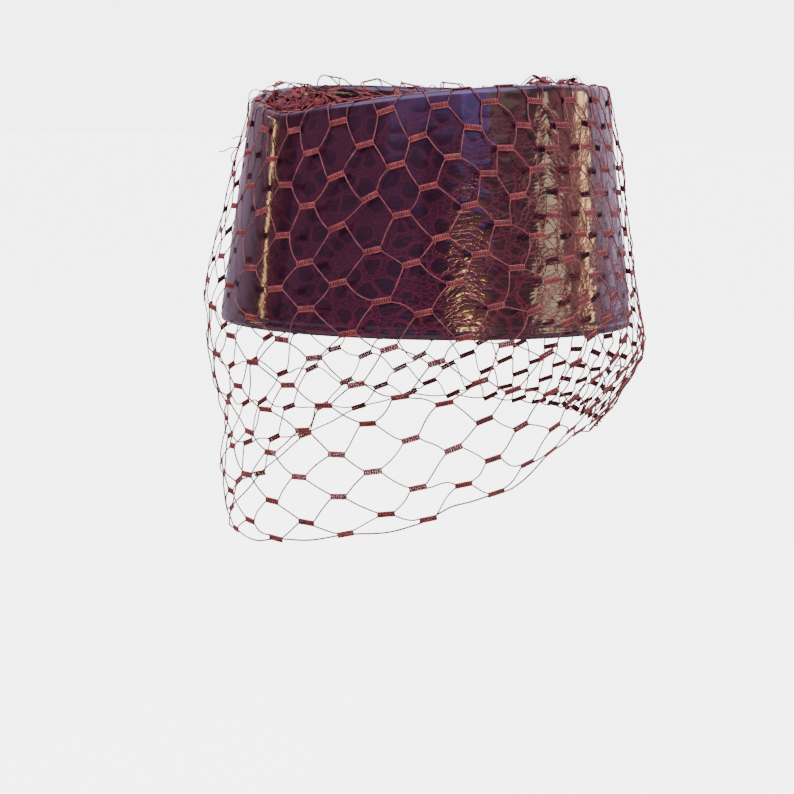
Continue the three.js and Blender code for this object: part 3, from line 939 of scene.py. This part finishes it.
thread_mesh = joined("veil_threads", tubes(lying, NET_THREAD, 1), tubes(hanging, HANGING_THREAD, 1))
veil_thread_piece = add_piece("veil_threads", thread_mesh, thread_finish)
for piece in (veil_bar_piece, veil_thread_piece):
    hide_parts("veil")


# Hem thread. One fine thread run through the lowest bars of the net and drawn up at the nape,
# so that the veil hangs in below the back of the hat.

HEM_THREAD = 0.75 * MM
hem_lattice = np.linspace(0, COLUMNS, COLUMNS * 8, endpoint=False)
hem_place = on_net(hem_lattice, 0)
hem_wave = 0.6 * MM * np.cos(math.pi * hem_lattice) - 0.9 * MM
hem_route = hem_place + np.column_stack([np.zeros((len(hem_lattice), 2)), hem_wave])
hem_route = np.vstack([hem_route, hem_route[:1]])
hem_piece = add_piece("hem_thread", joined("hem_thread", tubes([hem_route], HEM_THREAD, 1)), thread_finish)
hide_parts("veil_hem_thread")


# Gathers. The top of the net is bunched in the sunken crown and stitched down: a heap inside the
# front dip, a heap at the back of the rim, and a crumpled strip along the crown between them.

LAYER_SHRINK = 0.24
HEAP_ROUNDNESS = 0.45
BROAD_FOLD = 0.20
FINE_FOLD = 0.12
FINE_FOLDS = 11
HEAP_SCATTER = 0.9 * MM
HEAP_SLACK = 2.4 * MM
HEAP_FOOT = TIP_TOP + 0.5 * MM


def crumple(middle, half_size, height, layers, lines, rows, pleats, uneven):
    """Bars and threads of net crumpled into a heap that stands on the tip.

    The heap has so many layers, and each has so many lines of bars round it and rows of bars up it.
    pleats folds it in and out round its sides, and uneven raises three crests on its top.
    """
    all_rails, all_rungs, all_cores, all_threads = [], [], [], []

    def loosely(places):
        """Keeps places of a heap's thread inside the rim and off the leather."""
        turn = turn_of(places[..., 0], places[..., 1])
        rim_middle = wall_out(turn, rim_height(turn) - ROLL) - ROLL
        out = np.hypot(places[..., 0], places[..., 1])
        share = np.minimum(1, rim_middle / np.maximum(out, 1e-6))
        inside = places * np.stack([share, share, np.ones_like(share)], axis=-1)
        return clear_of_leather(inside, BAR_RAIL / 2 + 0.1 * MM)

    for layer in range(layers):
        scale = 1 - LAYER_SHRINK * layer
        phase = chance.uniform(0, 2 * math.pi)

        def dome(line, row):
            turn = 2 * math.pi * np.asarray(line) / lines + phase
            rise = np.clip(np.asarray(row) / rows, 0, 1)
            broad_fold = BROAD_FOLD * np.sin(pleats * turn + 3 * rise + phase)
            fold = 1 + broad_fold + FINE_FOLD * np.sin(FINE_FOLDS * turn - 5 * rise)
            wide = np.cos(rise * math.pi / 2) ** HEAP_ROUNDNESS * fold * scale
            x = middle.x + half_size.x * wide * np.cos(turn)
            y = middle.y + half_size.y * wide * np.sin(turn)
            crest = 1 + uneven * np.sin(3 * turn + phase)
            z = middle.z + height * scale * crest * np.sin(rise * math.pi / 2)
            return np.stack(np.broadcast_arrays(x, y, z), axis=-1)

        heap = {}
        for line in range(lines):
            for count in range(rows + 1):
                row = count + (line % 2) / 2
                at_line, at_row = line + chance.normal(0, 0.25), row + chance.normal(0, 0.15)
                at_row = min(max(at_row, 0.2), rows - 0.2)
                at, along, across = bar_frame(dome, at_line, at_row, chance.uniform(-1.3, 1.3))
                at = at + chance.normal(0, HEAP_SCATTER, 3)
                heap[(line, 2 * count + line % 2)] = dict(
                    middle=at, along=along, across=across, half=BAR_LENGTH / 2 * chance.uniform(0.4, 0.85),
                )
        for (line, key), bar in heap.items():
            bar_rails, bar_rungs, bar_cores = bar_routes(
                bar["middle"], bar["along"], bar["across"], bar["half"], loosely)
            all_rails += bar_rails
            all_rungs += bar_rungs
            all_cores += bar_cores
            for rise in (-1, 1):
                other = heap.get(((line + 1) % lines, key + rise))
                if other is None:
                    continue
                first, last = bar_corner(bar, 1, rise), bar_corner(other, -1, -rise)

                def straight(share):
                    return first + (last - first) * share[:, None]

                all_threads.append(strung(first, last, straight, HEAP_SLACK, loosely, 6))
    return all_rails, all_rungs, all_cores, all_threads


# The heaps' thread has a far darker dark tone than the lying net's thread: painted shade for the dark gaps
# inside the crumpled heaps.
gathered_shade_finish = net_finish("gathered_thread_painted_shade", (0.340, 0.050, 0.030, 1), (0.085, 0.009, 0.009, 1))


def gather_piece(name, cad_node, **heap):
    """One heap as a piece of its own, in place of its plain solid."""
    heap_rails, heap_rungs, heap_cores, heap_threads = crumple(**heap)
    mesh = joined(name, tubes(heap_rails, BAR_RAIL, 0), tubes(heap_rungs, BAR_RUNG, 0, 1),
                  tubes(heap_cores, BAR_CORE, 0, 2), tubes(heap_threads, NET_THREAD, 0))
    piece = add_piece(name, mesh, gathered_shade_finish, rung_finish, core_shade_finish)
    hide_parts(cad_node)


front_low, front_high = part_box("front_gather")
back_low, back_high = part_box("back_gather")
strip_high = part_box("crown_strip")[1]
front_middle = Vector((-6 * MM, (front_low.y + front_high.y) / 2 - 7 * MM, HEAP_FOOT))
back_middle = Vector((9 * MM, (back_low.y + back_high.y) / 2 + 7 * MM, HEAP_FOOT))
gather_piece(
    "front_gather_net", "front_gather", middle=front_middle, half_size=Vector((24 * MM, 14 * MM)),
    height=front_high.z - TIP_TOP - 5 * MM, layers=5, lines=14, rows=3, pleats=6, uneven=0.22,
)
gather_piece(
    "back_gather_net", "back_gather", middle=back_middle, half_size=Vector((27 * MM, 17 * MM)),
    height=back_high.z - TIP_TOP - 2.5 * MM, layers=4, lines=17, rows=3, pleats=5, uneven=0.06,
)
gather_piece(
    "crown_strip_net", "crown_strip", middle=Vector((0, 0, HEAP_FOOT)),
    half_size=Vector((11 * MM, strip_high.y + 8 * MM)), height=strip_high.z - TIP_TOP - 3 * MM,
    layers=3, lines=24, rows=2, pleats=8, uneven=0.22,
)


# Studio. A pale seamless floor far below the hat, soft light, and a few long windows and lamps
# round the camera that the patent leather mirrors. The camera stands level with the hat's rim.

CAMERA_TURN = 50.78
CAMERA_DISTANCE = 1.0
CAMERA_STAND_TURN = 50.0
CAMERA_HEIGHT = 0.0931
CAMERA_DOWN = 7.48
CAMERA_ROLL = 1.33
CAMERA_LENS = 93.3
FLOOR_HEIGHT = -0.30
FLOOR_REACH = 60
BACKDROP = 5.0

floor_mesh = bpy.data.meshes.new("floor")
bm = bmesh.new()
bmesh.ops.create_grid(bm, x_segments=1, y_segments=1, size=FLOOR_REACH)
bmesh.ops.translate(bm, verts=bm.verts, vec=(0, 0, FLOOR_HEIGHT))
bm.to_mesh(floor_mesh)
bm.free()
floor = bpy.data.objects.new("floor", floor_mesh)
bpy.context.scene.collection.objects.link(floor)
floor_paper = bpy.data.materials.new("floor_paper")
floor_paper.use_nodes = True
tree = floor_paper.node_tree
shader = tree.nodes["Principled BSDF"]
shader.inputs["Base Color"].default_value = (0.82, 0.82, 0.84, 1)
shader.inputs["Roughness"].default_value = 1.0
shader.inputs["Specular IOR Level"].default_value = 0.0
shader.inputs["Emission Color"].default_value = (0.97, 0.98, 1.0, 1)
glow = math_node(tree, "MULTIPLY", node(tree, "ShaderNodeLightPath").outputs["Is Camera Ray"], BACKDROP)
tree.links.new(glow, shader.inputs["Emission Strength"])
floor_mesh.materials.append(floor_paper)

camera_data = bpy.data.cameras.new("camera")
camera_data.sensor_width = 36
camera_data.lens = CAMERA_LENS
camera = bpy.data.objects.new("camera", camera_data)
bpy.context.scene.collection.objects.link(camera)
stand = math.radians(CAMERA_STAND_TURN)
camera_out = Vector((math.sin(stand), -math.cos(stand), 0)) * CAMERA_DISTANCE
camera_place = camera_out + Vector((0, 0, CAMERA_HEIGHT))
camera.matrix_world = (
    Matrix.Translation(camera_place)
    @ Matrix.Rotation(math.radians(CAMERA_TURN), 4, "Z")
    @ Matrix.Rotation(math.radians(90 - CAMERA_DOWN), 4, "X")
    @ Matrix.Rotation(math.radians(CAMERA_ROLL), 4, "Z")
)
bpy.context.scene.camera = camera


LAMP_DISTANCE = 1.6
LAMP_AIM_HEIGHT = 0.05
GOLD = (1.0, 0.64, 0.24)
AMBER = (1.0, 0.40, 0.16)


def lamp(name, turn, up, width, height, radiance, colour, mirrored_only=True, lean=0):
    """A soft lamp that faces the hat, placed and sized in degrees as seen from it.

    turn is how far round from the camera it stands, to the camera's right. A lamp that is
    mirrored_only shows in the glossy leather, and sheds no light on the net. lean tips its top
    over, anticlockwise as it is seen from behind.
    """
    data = bpy.data.lights.new(name, "AREA")
    data.shape = "RECTANGLE"
    data.size = 2 * LAMP_DISTANCE * math.tan(math.radians(width / 2))
    data.size_y = 2 * LAMP_DISTANCE * math.tan(math.radians(height / 2))
    data.energy = radiance * math.pi * data.size * data.size_y
    data.color = colour
    made = bpy.data.objects.new(name, data)
    bpy.context.scene.collection.objects.link(made)
    angle = math.radians(CAMERA_STAND_TURN + turn)
    rise = math.radians(up)
    level = Vector((math.sin(angle), -math.cos(angle), 0))
    away = level * math.cos(rise) + Vector((0, 0, math.sin(rise)))
    made.location = away * LAMP_DISTANCE + Vector((0, 0, LAMP_AIM_HEIGHT))
    made.rotation_mode = "QUATERNION"
    made.rotation_quaternion = away.to_track_quat("Z", "Y") @ Quaternion((0, 0, 1), math.radians(lean))
    made.visible_camera = False
    made.visible_diffuse = not mirrored_only
    made.visible_glossy = mirrored_only


lamp("key", -35, 48, 32, 32, 9, (1.0, 0.98, 0.95), False)
lamp("fill", 60, 35, 40, 32, 3.2, (0.95, 0.97, 1.0), False)
lamp("sky_window", 36, 39, 18, 50, 2.8, (0.28, 0.27, 1.0))
lamp("pale_sky", 6, 38, 46, 44, 1.5, (0.38, 0.33, 1.0))
lamp("green_window", 56, 30, 24, 30, 1.5, (0.74, 0.80, 0.38))
lamp("overhead", 4, 70, 90, 58, 5.0, (0.52, 0.48, 1.0))
lamp("violet_room", -38, 14, 84, 56, 0.42, (0.86, 0.42, 0.78))
lamp("left_strip", -105, 8, 0.6, 36, 40, (1.0, 0.60, 0.24), lean=60)
lamp("left_glow", -102, 12, 9, 40, 0.18, (1.0, 0.26, 0.20), lean=45)
lamp("low_lamp", 29, -2.5, 8, 13, 50, GOLD)
lamp("low_glow", 32, 1, 20, 20, 1.4, AMBER)
lamp("grey_window", 76, 4, 12, 20, 8, (1.0, 0.78, 0.46), lean=-48)
lamp("warm_wall", 76, 8, 66, 44, 0.50, (1.0, 0.40, 0.42))
lamp("right_strip", 107, 6, 5, 21, 16, (1.0, 0.60, 0.24), lean=-40)
lamp("right_glow", 100, 10, 24, 34, 1.0, (1.0, 0.42, 0.36), lean=-30)

world = bpy.data.worlds.new("studio")
bpy.context.scene.world = world
world.use_nodes = True
tree = world.node_tree
tree.nodes.clear()
towards = (math.sin(stand), -math.cos(stand), 0)
rightwards = (math.cos(stand), math.sin(stand), 0)
direction = node(tree, "ShaderNodeTexCoord").outputs["Generated"]
facing = node(tree, "ShaderNodeVectorMath", direction, towards, operation="DOT_PRODUCT").outputs["Value"]
aside = node(tree, "ShaderNodeVectorMath", direction, rightwards, operation="DOT_PRODUCT").outputs["Value"]
height = node(tree, "ShaderNodeSeparateXYZ", direction).outputs[2]
far_side = ramp(tree, facing, -0.70, -0.10, 1.0, 0.0)
brighter_right = ramp(tree, aside, -0.6, 0.6, 0.66, 1.5)
behind = math_node(tree, "MULTIPLY", far_side, brighter_right)
above = ramp(tree, height, 0.35, 0.85, 0.0, 0.75)
room = math_node(tree, "MAXIMUM", math_node(tree, "MAXIMUM", behind, 0.075), above)
seen = node(tree, "ShaderNodeLightPath").outputs["Is Camera Ray"]
strength = node(tree, "ShaderNodeMix", seen, data_type="FLOAT")
tree.links.new(room, strength.inputs[2])
strength.inputs[3].default_value = BACKDROP
tint = node(tree, "ShaderNodeMix", seen, data_type="RGBA")
tint.inputs[6].default_value = (0.98, 0.74, 1.0, 1)
tint.inputs[7].default_value = (0.97, 0.98, 1.0, 1)
background = node(tree, "ShaderNodeBackground", tint.outputs[2])
tree.links.new(strength.outputs[0], background.inputs["Strength"])
output = node(tree, "ShaderNodeOutputWorld")
tree.links.new(background.outputs[0], output.inputs[0])
